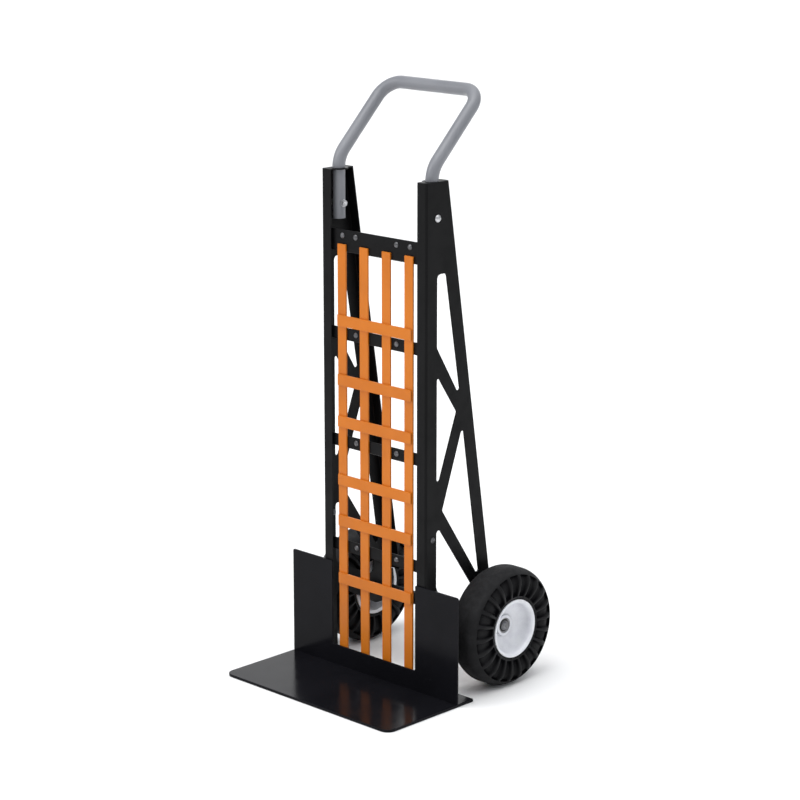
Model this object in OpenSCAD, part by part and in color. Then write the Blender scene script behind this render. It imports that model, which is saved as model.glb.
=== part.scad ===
// Two-wheel hand truck: folded steel side frames, bolted load grid, tubular
// loop handle, welded toe plate and two ball-bearing wheels on a fixed axle.
// X is left to right, -Y is the load side, Z = 0 is the floor.

/* [Overall] */
// Width of the toe plate and of the upright back plate
plate_w = 516; // [440:2:560]
// Toe plate reach in front of the rail faces
toe_reach = 219; // [150:1:300]
// Toe plate overhang behind the rail faces
toe_tail = 50; // [40:1:60]
// Height of the side frames
rail_h = 1140; // [1080:1:1250]

/* [Toe plate] */
// Toe plate thickness
toe_t = 6; // [4:0.5:10]
// Radius of the two front corners of the toe plate
toe_corner_r = 22; // [5:1:60]
// Upright back plate thickness
back_t = 4; // [3:0.5:8]
// Height of the two ears of the back plate
ear_h = 250; // [180:1:300]
// Height of the low strip between the ears
strip_h = 52; // [30:1:90]

/* [Side frames] */
// Outer face to outer face of the two side frames
frame_w = 317; // [300:1:360]
// Sheet thickness of the side frames and cross-members
sheet_t = 3; // [2:0.5:5]
// Width of the front and rear flanges of each side frame
flange_w = 27.5; // [22:0.5:40]
// Depth of the rail in front of the windows
rail_d = 34; // [30:0.5:45]
// Depth of the side plate at its top
top_d = 70; // [62:0.5:80]
// Rearward slope of the back edge, in millimetres per millimetre of drop
back_slope = 0.155; // [0.10:0.005:0.20]
// Width of the sloping rear leg
leg_w = 36.5; // [25:0.5:45]

/* [Cross-members] */
// Height of the top cross-member
top_member_h = 49; // [42:0.5:60]
// Height of the three lower cross-members
member_h = 28.5; // [25:0.5:40]
// Depth of the lower flange of every cross-member
member_d = 20; // [15:1:30]

/* [Load grid] */
// Width of the upright straps and of the bars
strap_w = 25.4; // [20:0.1:40]
// Thickness of the straps and of the bars
strap_t = 4; // [2:0.5:5]
// Spacing of the upright straps
strap_pitch = 68; // [55:0.5:72]
// Height of the upper ends of the straps
strap_top = 978; // [950:1:985]

/* [Handle] */
// Outside diameter of the handle tube
tube_d = 28.6; // [22:0.1:34]
// Wall thickness of the handle tube
tube_t = 1.8; // [1.2:0.1:3]
// Distance between the centrelines of the handle legs
handle_w = 281; // [260:1:281]
// Distance of the handle legs behind the rail faces
leg_y = 35; // [30:1:38]
// Height of the lower ends of the handle legs
leg_foot = 1028; // [1018:1:1035]
// Height at which the leg and arm centrelines meet
knee_h = 1163.6; // [1160:0.1:1200]
// Angle of the handle arms from upright
arm_tilt = 45; // [30:1:60]
// Length of each arm between centreline corners
arm_len = 216.5; // [150:0.5:300]

/* [Wheels] */
// Tyre outside diameter
tyre_d = 269; // [260:1:280]
// Tyre section width
tyre_w = 90.4; // [80:0.1:92]
// Tyre shoulder radius
shoulder_r = 34.5; // [20:0.5:38]
// Distance from the centre plane to the middle of each wheel
wheel_x = 216.2; // [214:0.1:220]
// Distance of the axle behind the rail faces
axle_y = 185; // [180:1:190]
// Diameter of the wheel rim's outer flange
rim_d = 132.4; // [128:0.1:138]
// Axle diameter
axle_d = 15.875; // [15:0.001:16]

/* [Hidden] */
$fn = 64;
fit = 0.02;                 // radial gap in assembled round fits
hole_gap = 0.2;             // radial gap round a bolt
cut = 1;                    // overrun of every cutting solid
face_x = frame_w / 2;       // outer face of a side frame
web_x = face_x - sheet_t;   // inner face of a side frame's web
toe_front = -toe_reach;
axle_z = tyre_d / 2;
tyre_r = tyre_d / 2;
wheel_back = axle_y + tyre_r;
y_mid = (wheel_back + toe_front) / 2;

// Rear edge of a side plate, and the inner edge of its rear leg
function rear_y(z) = top_d + (rail_h - z) * back_slope;
leg_in = leg_w * sqrt(1 + back_slope * back_slope);
function inner_y(z) = rear_y(z) - leg_in;
rear_t = sheet_t * sqrt(1 + back_slope * back_slope);
rear_foot = 178;            // lower end of the rear flange

// Side plate: heights where the braces leave the rail or the rear leg
win1_top = 941;             // top of the uppermost window
win1_in = 2.5;              // its rear corner, in front of the line of the rear leg
brace1_top = 781;           // upper brace, upper edge at the rail
brace1_low = 722;           // upper brace, lower edge at the rail
brace1_tip = [109.5, 657];  // upper brace, upper edge at the rear leg
brace2_low = 461;           // middle brace, upper edge at the rail
brace2_tip = [96.5, 630];   // middle brace, upper edge at the rear leg
brace3_low = 387.5;         // lower brace, lower edge at the rail
sill_h = 232;               // bottom bar, upper edge at the rail
win3_front = [52, 415];     // front corner of the third window
axle_boss_r = 31;
bar_h = 38;                 // depth of the bottom bar
foot_d = 39;                // depth of the side plate at its foot

// Cross-members: lower edges
member_z = [961, 763, 517.5, 274.5];
member_tall = [top_member_h, member_h, member_h, member_h];
bar_z = [213.3, 348.8, 443.8, 578.3, 673.2, 807.6];
bar_short = 2;              // each bar end stops this far inside the strap's edge
member_y = 2 * strap_t;     // front of the cross-members, behind the straps
bolt_x = 62;                // cross-member bolts, from the centre plane
bolt_x2 = 102.5;            // outer pair on the top cross-member
top_bolt_z = 997;
bolt_up = 16.5;             // cross-member bolts above a lower member's edge
bolt_d = 8;
head_d = 13;
head_h = 4;
nut_af = 13;
nut_h = 6.5;
frame_bolt = [22, 354];     // y and z of the bolt through each rail
handle_bolt_z = 1062;
handle_nut_h = 4;
washer_t = 1.5;
cap_r = 21;                 // round end of the top cap round the handle leg
knee_r = 60;
corner_r = 45;
tube_r = tube_d / 2;
bend_lap = 2;               // lap of each tube bend into its straights
bend_step = 0.2;            // how much thinner a bend is than the straights
leg_x = handle_w / 2;

// Wheel: half widths and radii
half_w = tyre_w / 2;
flat_w = half_w - shoulder_r;
rim_r = rim_d / 2;
rim_half = 41.8;            // rim flange, from the wheel's middle
flange_t = 4;
seat_r = 61;                // bead seat
barrel_r = 57.5;            // inside of the rim barrel
boss_r = 24;
boss_out = 9.8;             // boss end, outward of the wheel's middle
boss_in = 38.2;             // boss end, inward of the wheel's middle
dish_t = 5;
dish_in = 5;                // dish face at the boss
dish_out = 16;              // dish face at the barrel
race_w = 11.11;
race_out_r = 17.46;
race_groove_r = 2.75;
ball_r = 2.7;
ball_count = 8;
pitch_r = 12.7;
inner_race_r = 10.7;
outer_race_in = 14.7;
shield_t = 0.8;
seat_depth = 2;             // recess of each bearing in the boss
bearing_out = wheel_x + boss_out - seat_depth - race_w;
bearing_in = wheel_x - boss_in + seat_depth;
axle_r = axle_d / 2;
cap_h = 7;                  // dome of the axle cap
cap_d = 18;
cap_flange_t = 2;
axle_tube_r = 15;
axle_end = wheel_x + boss_out + 2.5;

// Placement and shared shapes --------------------------------------------

// Moves the rail-face datum so that the origin is under the middle of the box
module place() { translate([0, -y_mid, 0]) children(); }

// Makes the left-hand copy of a right-hand shape
module left() { mirror([1, 0, 0]) children(); }

// Both hands of a right-hand shape
module pair() { children(); mirror([1, 0, 0]) children(); }

// Turns a shape built along +Z so that it points along +X
module along_x() { rotate([0, 90, 0]) children(); }

// Corner of an outline rounded to radius r, as an arc of n + 1 points
function unit(v) = v / norm(v);
function arc_corner(a, b, c, r, n = 6) =
    let (u = unit(a - b), w = unit(c - b), half = acos(max(-1, min(1, u * w))) / 2,
         m = b + unit(u + w) * r / sin(half), s = b + u * r / tan(half),
         e = b + w * r / tan(half), t0 = atan2(s.y - m.y, s.x - m.x),
         t1 = atan2(e.y - m.y, e.x - m.x), d = t1 - t0,
         turn = d > 180 ? d - 360 : d < -180 ? d + 360 : d)
    [for (i = [0:n]) m + r * [cos(t0 + turn * i / n), sin(t0 + turn * i / n)]];

// Outline with each corner [x, y, r] rounded to its own radius
module rounded(p) {
    k = len(p);
    polygon([for (i = [0:k - 1])
        let (a = p[(i + k - 1) % k], b = p[i], c = p[(i + 1) % k])
        each b[2] == 0 ? [[b.x, b.y]]
            : arc_corner([a.x, a.y], [b.x, b.y], [c.x, c.y], b[2])]);
}

// Extrudes a [y, z] outline along X from x0 for a width w
module side_sheet(x0, w) {
    translate([x0, 0, 0]) rotate([90, 0, 90]) linear_extrude(w) children();
}

// Ring of revolution about +X: from x0, length w, radii r0 inside and r1 outside
module ring(x0, w, r0, r1) {
    translate([x0, axle_y, axle_z]) along_x() linear_extrude(w) difference() {
        circle(r1);
        circle(r0);
    }
}

// Hexagon nut along +X, with a clear hole
module nut_x(x0, h, af, hole_r) {
    translate([x0, 0, 0]) along_x() difference() {
        cylinder(h = h, d = af / cos(30), $fn = 6);
        translate([0, 0, -cut]) cylinder(h = h + 2 * cut, r = hole_r);
    }
}

// Outline of a domed head that stands on Y = 0, from its axis outwards
module dome_profile(d, h) {
    sphere_r = (d * d / 4 + h * h) / (2 * h);
    intersection() {
        translate([0, h - sphere_r]) circle(sphere_r, $fn = 96);
        square([d / 2, h]);
    }
}

// Screw with a domed head: the head points along +X from X = 0, the shank along -X
module dome_bolt(d_head, h_head, len) {
    along_x() rotate_extrude() {
        dome_profile(d_head, h_head);
        translate([0, -len]) square([bolt_d / 2, len]);
    }
}

// Side frames ------------------------------------------------------------

// Whole side plate before the windows are cut
module plate_outline() {
    foot = toe_t;
    bar_drop = (sill_h - axle_z - axle_boss_r * 0.55) / (axle_y - rail_d);
    boss_back = axle_y + axle_boss_r;
    rounded([[0, foot, 0], [0, rail_h, 0], [top_d, rail_h, 0],
        [rear_y(axle_z + 20), axle_z + 20, 18], [boss_back - 8, axle_z - axle_boss_r, 20],
        [axle_y - 22, axle_z - axle_boss_r, 14],
        [rail_d, sill_h - bar_h * sqrt(1 + bar_drop * bar_drop) - 14, 16], [foot_d, foot, 0]]);
}

// The four windows of a side plate, as [y, z, corner radius] outlines
module windows() {
    rounded([[rail_d, win1_top, 10], [inner_y(win1_top) - win1_in, win1_top, 8],
        [brace1_tip.x, brace1_tip.y, 5], [rail_d, brace1_top, 10]]);
    rounded([[rail_d, brace1_low, 4], [brace2_tip.x, brace2_tip.y, 6], [rail_d, brace2_low, 5]]);
    rounded([[win3_front.x, win3_front.y, 6], [inner_y(599), 599, 5], [inner_y(233), 233, 5]]);
    rounded([[rail_d, brace3_low, 7], [154, 215, 8], [154, 174, 10], [rail_d, sill_h, 25]]);
}

module side_frame() {
    place() difference() {
        union() {
            side_sheet(web_x, sheet_t) plate_outline();
            translate([face_x - flange_w, 0, toe_t]) cube([flange_w, sheet_t, rail_h - toe_t]);
            side_sheet(face_x - flange_w, flange_w) polygon([
                [rear_y(rail_h), rail_h], [rear_y(rear_foot), rear_foot],
                [rear_y(rear_foot) - rear_t, rear_foot], [rear_y(rail_h) - rear_t, rail_h]]);
        }
        side_sheet(web_x - cut, sheet_t + 2 * cut) windows();
        translate([web_x - cut, leg_y, handle_bolt_z]) along_x()
            cylinder(h = sheet_t + 2 * cut, r = bolt_d / 2 + hole_gap);
        translate([web_x - cut, frame_bolt.x, frame_bolt.y]) along_x()
            cylinder(h = sheet_t + 2 * cut, r = bolt_d / 2 + hole_gap);
        translate([web_x - cut, axle_y, axle_z]) along_x()
            cylinder(h = sheet_t + 2 * cut, r = axle_r + fit);
    }
}

module side_frame_right() { color("#26282a") side_frame(); }
module side_frame_left() { color("#26282a") left() side_frame(); }

// Thin lid on top of each rail, with a round eye for the handle leg
module top_cap() {
    place() translate([0, 0, rail_h - sheet_t]) linear_extrude(sheet_t) difference() {
        union() {
            translate([face_x - flange_w, sheet_t]) square([flange_w - sheet_t, top_d - rear_t - sheet_t]);
            translate([leg_x, leg_y]) intersection() {
                circle(cap_r);
                translate([-cap_r, -cap_r]) square([cap_r + web_x - leg_x, 2 * cap_r]);
            }
        }
        translate([leg_x, leg_y]) circle(tube_r + hole_gap);
    }
}

module top_cap_right() { color("#2c2e30") top_cap(); }
module top_cap_left() { color("#2c2e30") left() top_cap(); }

// Cross-members ----------------------------------------------------------

// Angle between the two webs, its flange along the lower edge and to the rear
module angle(i) {
    z = member_z[i];
    h = member_tall[i];
    bolts = i == 0 ? [-bolt_x2, -bolt_x, bolt_x, bolt_x2] : [-bolt_x, bolt_x];
    place() difference() {
        translate([-web_x, member_y, z]) cube([2 * web_x, member_d, h]);
        translate([-web_x - cut, member_y + sheet_t, z + sheet_t])
            cube([2 * (web_x + cut), member_d, h]);
        for (x = bolts) translate([x, member_y - cut, bolt_z(i)]) rotate([-90, 0, 0])
            cylinder(h = sheet_t + 2 * cut, r = bolt_d / 2 + hole_gap);
    }
}
function bolt_z(i) = i == 0 ? top_bolt_z : member_z[i] + bolt_up;

module cross_member_top() { color("#2a2c2e") angle(0); }
module cross_member_upper() { color("#2a2c2e") angle(1); }
module cross_member_middle() { color("#2a2c2e") angle(2); }
module cross_member_lower() { color("#2a2c2e") angle(3); }

// Load grid --------------------------------------------------------------

// Upright strap number i, counted from the left
module load_strap(i) {
    x = (i - 2.5) * strap_pitch - strap_w / 2;
    color("#e6822a") place() translate([x, strap_t, toe_t])
        cube([strap_w, strap_t, strap_top - toe_t]);
}

// Bar number i, counted from the bottom, in front of the straps, flush with the rails
module load_bar(i) {
    w = 3 * strap_pitch + strap_w - 2 * bar_short;
    color("#ee8c2e") place() translate([-w / 2, 0, bar_z[i - 1] - strap_w / 2])
        cube([w, strap_t, strap_w]);
}

// Toe and back plates ----------------------------------------------------

module nose_plate() {
    w = plate_w / 2;
    color("#303234") place() linear_extrude(toe_t)
        rounded([[-w, toe_front, toe_corner_r], [w, toe_front, toe_corner_r],
            [w, toe_tail, 4], [-w, toe_tail, 4]]);
}

// Upright plate in front of the rails: a low strip with an ear on each side
module back_plate() {
    w = plate_w / 2;
    gap = face_x - flange_w - 1;
    color("#2e3032") place() rotate([90, 0, 0]) linear_extrude(back_t)
        rounded([[-w, toe_t, 0], [w, toe_t, 0], [w, ear_h, 4], [gap, ear_h, 3], [gap, strip_h, 5],
            [-gap, strip_h, 5], [-gap, ear_h, 3], [-w, ear_h, 4]]);
}

// Handle -----------------------------------------------------------------

// One bend of a rod of radius t in the plane Y-Z, from upright towards +Y.
// It is a hair thinner than the straights and laps into both, so they join cleanly.
module rod_bend(r, turn, t) {
    over = bend_lap / r * 180 / PI;
    translate([0, r, 0]) rotate([0, -90, 0]) rotate([0, 0, -90 - over])
        rotate_extrude(angle = turn + 2 * over, $fn = 96)
            translate([r, 0]) circle(t - bend_step);
}

// Right-hand leg, knee, arm and corner of a rod of radius t, the leg run on by extra
module half_rod(t, extra) {
    knee_cut = knee_r * tan(arm_tilt / 2);
    straight = arm_len - knee_cut - corner_r;
    leg_len = knee_h - knee_cut - leg_foot;
    translate([leg_x, leg_y, leg_foot - extra]) cylinder(h = leg_len + extra, r = t);
    translate([leg_x, leg_y, leg_foot + leg_len]) {
        rod_bend(knee_r, arm_tilt, t);
        translate([0, knee_r, 0]) rotate([-arm_tilt, 0, 0]) translate([0, -knee_r, 0]) {
            cylinder(h = straight, r = t);
            translate([0, 0, straight]) rotate([0, 0, 90]) rod_bend(corner_r, 90, t);
        }
    }
}

// Whole handle loop as a solid rod
module loop_rod(t, extra = 0) {
    bar_w = 2 * (leg_x - corner_r);
    half_rod(t, extra);
    mirror([1, 0, 0]) half_rod(t, extra);
    translate([-bar_w / 2, leg_y + arm_len * sin(arm_tilt), knee_h + arm_len * cos(arm_tilt)])
        along_x() cylinder(h = bar_w, r = t);
}

module handle_loop() {
    color("#9a9aa0") place() difference() {
        loop_rod(tube_r);
        loop_rod(tube_r - tube_t, cut);
        for (s = [-1, 1]) translate([s * leg_x - tube_d, leg_y, handle_bolt_z]) along_x()
            cylinder(h = 2 * tube_d, r = bolt_d / 2 + hole_gap);
    }
}

// Places a shape at the handle bolt, on the plane X = x
module at_handle_bolt(x) { place() pair() translate([x, leg_y, handle_bolt_z]) children(); }

module handle_spacers() {
    gap = web_x - leg_x - tube_r;
    color("#8c8e92") at_handle_bolt(web_x - gap) along_x() linear_extrude(gap) difference() {
        circle(d = 20);
        circle(bolt_d / 2 + hole_gap);
    }
}

module handle_bolts() {
    reach = face_x - (leg_x - tube_r - washer_t - handle_nut_h - 1);
    color("#d0d2d4") at_handle_bolt(face_x) dome_bolt(17, 5.5, reach);
}

module handle_washers() {
    color("#c4c6c8") at_handle_bolt(leg_x - tube_r - washer_t) along_x()
        linear_extrude(washer_t) difference() {
            circle(d = 17);
            circle(bolt_d / 2 + hole_gap);
        }
}

module handle_nuts() {
    color("#c4c6c8") at_handle_bolt(0)
        nut_x(leg_x - tube_r - washer_t - handle_nut_h, handle_nut_h, nut_af, bolt_d / 2 + fit);
}

// Frame fasteners --------------------------------------------------------

// Places a shape built along +X at each cross-member bolt, turned to face -Y
module at_cross_bolts(y) {
    place() for (i = [0:3], x = i == 0 ? [-bolt_x2, -bolt_x, bolt_x, bolt_x2] : [-bolt_x, bolt_x])
        translate([x, y, bolt_z(i)]) rotate([0, 0, -90]) children();
}

module cross_bolts() {
    color("#5a5c5e") at_cross_bolts(member_y) dome_bolt(head_d, head_h, sheet_t + nut_h + 2);
}

module cross_nuts() {
    color("#5a5c5e") at_cross_bolts(member_y + sheet_t + nut_h) nut_x(0, nut_h, nut_af, bolt_d / 2 + fit);
}

module at_frame_bolts(x) { place() pair() translate([x, frame_bolt.x, frame_bolt.y]) children(); }

module frame_bolts() {
    color("#5a5c5e") at_frame_bolts(face_x) dome_bolt(head_d, 3, sheet_t + nut_h + 2);
}

module frame_nuts() {
    color("#5a5c5e") at_frame_bolts(0) nut_x(web_x - nut_h, nut_h, nut_af, bolt_d / 2 + fit);
}

// Axle -------------------------------------------------------------------

module axle() {
    color("#9c9ea2") place() translate([-axle_end, axle_y, axle_z]) along_x()
        cylinder(h = 2 * axle_end, r = axle_r);
}

// Cross tube between the two side frames, round the axle
module axle_tube() {
    color("#2a2c2e") place() ring(-web_x, 2 * web_x, axle_r + 2, axle_tube_r);
}

// Collars between each side frame and its inner bearing
module axle_spacers() {
    color("#8c8e92") place() pair() ring(face_x, bearing_in - face_x, axle_r + fit, inner_race_r);
}

// Tubes between the two inner races of each wheel
module bearing_spacers() {
    x0 = bearing_in + race_w;
    color("#8c8e92") place() pair() ring(x0, bearing_out - x0, axle_r + fit, inner_race_r);
}

module axle_washers() {
    color("#b4b6ba") place() pair() ring(bearing_out + race_w, washer_t, axle_r + fit, inner_race_r);
}

// Push-on cap over each end of the axle
module axle_caps() {
    x0 = bearing_out + race_w + washer_t;
    color("#a4a6aa") place() pair() translate([x0, axle_y, axle_z]) along_x() rotate_extrude()
        difference() {
            union() {
                square([inner_race_r, cap_flange_t]);
                translate([0, cap_flange_t]) dome_profile(cap_d, cap_h);
            }
            translate([0, -cut]) square([axle_r + fit, axle_end - x0 + cut + fit]);
        }
}

// Bearings ---------------------------------------------------------------

// Groove for the balls, as a solid torus about +X
module ball_groove(x0) {
    translate([x0 + race_w / 2, axle_y, axle_z]) along_x()
        rotate_extrude() translate([pitch_r, 0]) circle(race_groove_r);
}

module both_bearings() {
    for (x0 = [bearing_in, bearing_out]) translate([x0, 0, 0]) children();
}

module inner_races() {
    color("#b8babe") place() pair() both_bearings() difference() {
        ring(0, race_w, axle_r + fit, inner_race_r);
        ball_groove(0);
    }
}

module outer_races() {
    place() both_bearings() difference() {
        ring(0, race_w, outer_race_in, race_out_r);
        ball_groove(0);
    }
}

module bearing_balls() {
    place() both_bearings() for (k = [0:ball_count - 1])
        translate([race_w / 2, axle_y, axle_z]) rotate([k * 360 / ball_count, 0, 0])
            translate([0, pitch_r, 0]) sphere(ball_r, $fn = 32);
}

module bearing_shields() {
    place() both_bearings() for (x = [0.2, race_w - 0.2 - shield_t])
        ring(x, shield_t, inner_race_r + 0.4, outer_race_in);
}

module outer_races_right() { color("#b8babe") outer_races(); }
module outer_races_left() { color("#b8babe") left() outer_races(); }
module bearing_balls_right() { color("#d8dadc") bearing_balls(); }
module bearing_balls_left() { color("#d8dadc") left() bearing_balls(); }
module bearing_shields_right() { color("#3a3c3e") bearing_shields(); }
module bearing_shields_left() { color("#3a3c3e") left() bearing_shields(); }

// Wheels -----------------------------------------------------------------

// Revolves an outline of [radius, offset towards +X] about the axle
module revolve() {
    translate([wheel_x, axle_y, axle_z]) along_x() rotate_extrude($fn = 128) children();
}

// Space that the rim takes up inside the tyre
module rim_envelope() {
    square([2 * seat_r, 2 * (rim_half + cut)], center = true);
    for (s = [-1, 1]) translate([0, s * (rim_half - flange_t / 2)])
        square([2 * rim_r, flange_t], center = true);
}

module tyre() {
    centre_r = tyre_r - shoulder_r;
    place() revolve() difference() {
        union() {
            translate([seat_r, -flat_w]) square([tyre_r - seat_r, 2 * flat_w]);
            for (s = [-1, 1]) translate([centre_r, s * flat_w]) circle(shoulder_r, $fn = 96);
            polygon([[seat_r, -rim_half + flange_t], [centre_r, -half_w], [centre_r, half_w],
                [seat_r, rim_half - flange_t]]);
        }
        rim_envelope();
    }
}

// One-piece rim: barrel with two flanges, dished disc and long bearing boss
module rim() {
    pocket = race_out_r + fit;
    lip_out = boss_out - seat_depth - race_w;
    lip_in = -boss_in + seat_depth + race_w;
    lip = rim_half - flange_t;
    place() revolve() polygon([
        [pocket, boss_out], [pocket, lip_out], [outer_race_in, lip_out],
        [outer_race_in, lip_in], [pocket, lip_in], [pocket, -boss_in], [boss_r, -boss_in],
        [boss_r, dish_in - dish_t], [barrel_r, dish_out - dish_t], [barrel_r, -rim_half],
        [rim_r, -rim_half], [rim_r, -lip], [seat_r, -lip], [seat_r, lip], [rim_r, lip],
        [rim_r, rim_half], [barrel_r, rim_half], [barrel_r, dish_out], [boss_r, dish_in],
        [boss_r, boss_out]]);
}

module tyre_right() { color("#222426") tyre(); }
module tyre_left() { color("#222426") left() tyre(); }
module rim_right() { color("#ececf0") rim(); }
module rim_left() { color("#ececf0") left() rim(); }

side_frame_left();
side_frame_right();
top_cap_left();
top_cap_right();
cross_member_top();
cross_member_upper();
cross_member_middle();
cross_member_lower();
load_strap(1);  // load_strap_1
load_strap(2);  // load_strap_2
load_strap(3);  // load_strap_3
load_strap(4);  // load_strap_4
load_bar(1);  // load_bar_1
load_bar(2);  // load_bar_2
load_bar(3);  // load_bar_3
load_bar(4);  // load_bar_4
load_bar(5);  // load_bar_5
load_bar(6);  // load_bar_6
back_plate();
nose_plate();
handle_loop();
handle_spacers();
handle_bolts();
handle_washers();
handle_nuts();
cross_bolts();
cross_nuts();
frame_bolts();
frame_nuts();
axle();
axle_tube();
axle_spacers();
bearing_spacers();
axle_washers();
axle_caps();
inner_races();
tyre_left();
rim_left();
outer_races_left();
bearing_balls_left();
bearing_shields_left();
tyre_right();
rim_right();
outer_races_right();
bearing_balls_right();
bearing_shields_right();
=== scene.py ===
import math

import bmesh
import bpy
from mathutils import Matrix, Vector


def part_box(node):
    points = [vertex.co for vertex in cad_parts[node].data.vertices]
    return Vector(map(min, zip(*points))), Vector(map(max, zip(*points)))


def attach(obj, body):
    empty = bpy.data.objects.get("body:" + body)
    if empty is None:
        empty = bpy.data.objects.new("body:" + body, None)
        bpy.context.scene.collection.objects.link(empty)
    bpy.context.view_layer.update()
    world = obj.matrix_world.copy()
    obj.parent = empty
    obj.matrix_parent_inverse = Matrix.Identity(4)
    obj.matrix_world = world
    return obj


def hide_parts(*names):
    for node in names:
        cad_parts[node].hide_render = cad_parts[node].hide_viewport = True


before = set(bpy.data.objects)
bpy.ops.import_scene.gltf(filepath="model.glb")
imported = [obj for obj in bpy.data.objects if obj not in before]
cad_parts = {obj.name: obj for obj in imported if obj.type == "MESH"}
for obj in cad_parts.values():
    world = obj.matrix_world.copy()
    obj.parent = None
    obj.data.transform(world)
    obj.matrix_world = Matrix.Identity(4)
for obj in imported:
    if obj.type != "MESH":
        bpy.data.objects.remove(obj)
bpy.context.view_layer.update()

MM = 0.001
PI = math.pi

# Sizes in mm, as in the CAD source. Y is measured from the front faces of the rails.
DATUM_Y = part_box("side_frame_right")[0].y / MM
FACE_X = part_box("side_frame_right")[1].x / MM
SHEET = 3.0
WEB_X = FACE_X - SHEET
FLANGE_W = 27.5
RAIL_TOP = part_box("side_frame_right")[1].z / MM
TOE_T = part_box("nose_plate")[1].z / MM
AXLE_Y, AXLE_Z = 185.0, 134.5
WHEEL_X = 216.2
TYRE_R, SHOULDER_R, HALF_W = 134.5, 34.5, 45.2
STRAP_W, STRAP_T, STRAP_PITCH = 25.4, 4.0, 68.0
BAR_Z = (213.3, 348.8, 443.8, 578.3, 673.2, 807.6)
MEMBERS = (("top", 961, 49), ("upper", 763, 28.5), ("middle", 517.5, 28.5), ("lower", 274.5, 28.5))
MEMBER_Y, MEMBER_D = 2 * STRAP_T, 20.0
TUBE_R, TUBE_WALL = 14.3, 1.8
LEG_X, LEG_Y, LEG_FOOT, KNEE_Z = 140.5, 35.0, 1028.0, 1163.6
ARM_LEN, ARM_TILT = 216.5, math.radians(45)
TOP_BOLT_X, BOLT_X = 102.5, 62.0          # cross-member bolts, from the middle of the truck
TOP_BOLT_Z, BOLT_UP = 997.0, 16.5         # their height: on the top member, above each lower edge
RAIL_BOLT_Y, RAIL_BOLT_Z = 22.0, 354.0
HANDLE_BOLT_Z, HANDLE_NUT_H = 1062.0, 4.0
AXLE_R, AXLE_TUBE_R = 7.9375, 15.0
SIDES = (("left", -1), ("right", 1))


# Materials: every look is a node tree in object coordinates ---------------

class Paint:
    """A node material: each call adds one node and returns its output."""

    def __init__(self, name):
        self.mat = bpy.data.materials.new(name)
        self.mat.use_nodes = True
        self.tree = self.mat.node_tree
        self.tree.nodes.clear()
        self.place = self.add("ShaderNodeTexCoord", out="Object")

    def add(self, kind, inputs=None, out=0, **attrs):
        n = self.tree.nodes.new(kind)
        for key, value in attrs.items():
            setattr(n, key, value)
        for key, value in (inputs or {}).items():
            if isinstance(value, bpy.types.NodeSocket):
                self.tree.links.new(value, n.inputs[key])
            else:
                n.inputs[key].default_value = value
        return n.outputs[out] if len(n.outputs) else None

    def noise(self, scale, detail=3.0, stretch=None, roughness=0.5):
        at = self.place
        if stretch:
            at = self.add("ShaderNodeMapping", {"Vector": at, "Scale": stretch})
        return self.add("ShaderNodeTexNoise",
                        {"Vector": at, "Scale": scale, "Detail": detail, "Roughness": roughness})

    def ramp(self, value, lo, hi, to_lo=0.0, to_hi=1.0):
        return self.add("ShaderNodeMapRange",
                        {"Value": value, "From Min": lo, "From Max": hi, "To Min": to_lo,
                         "To Max": to_hi}, interpolation_type="SMOOTHSTEP")

    def calc(self, op, a, b=0.0):
        return self.add("ShaderNodeMath", {0: a, 1: b}, operation=op, use_clamp=False)

    def mix(self, factor, a, b):
        return self.add("ShaderNodeMix", {0: factor, 6: a, 7: b}, out=2, data_type="RGBA")

    def edges(self, radius):
        """1 on sharp convex and concave edges, fading to 0 within radius."""
        round_normal = self.add("ShaderNodeBevel", {"Radius": radius}, samples=4)
        true_normal = self.add("ShaderNodeNewGeometry", out="Normal")
        dot = self.add("ShaderNodeVectorMath", {0: round_normal, 1: true_normal},
                       out="Value", operation="DOT_PRODUCT")
        return self.ramp(dot, 0.985, 0.86)

    def bump(self, height, distance, normal=None):
        inputs = {"Height": height, "Distance": distance, "Strength": 1.0}
        if normal is not None:
            inputs["Normal"] = normal
        return self.add("ShaderNodeBump", inputs)

    def finish(self, **inputs):
        keys = {k.replace("_", " "): v for k, v in inputs.items()}
        shader = self.add("ShaderNodeBsdfPrincipled", keys)
        self.add("ShaderNodeOutputMaterial", {"Surface": shader})
        return self.mat


def grey(v, blue=1.0):
    """Neutral colour, with its blue scaled."""
    return (v, v, v * blue, 1.0)


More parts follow.
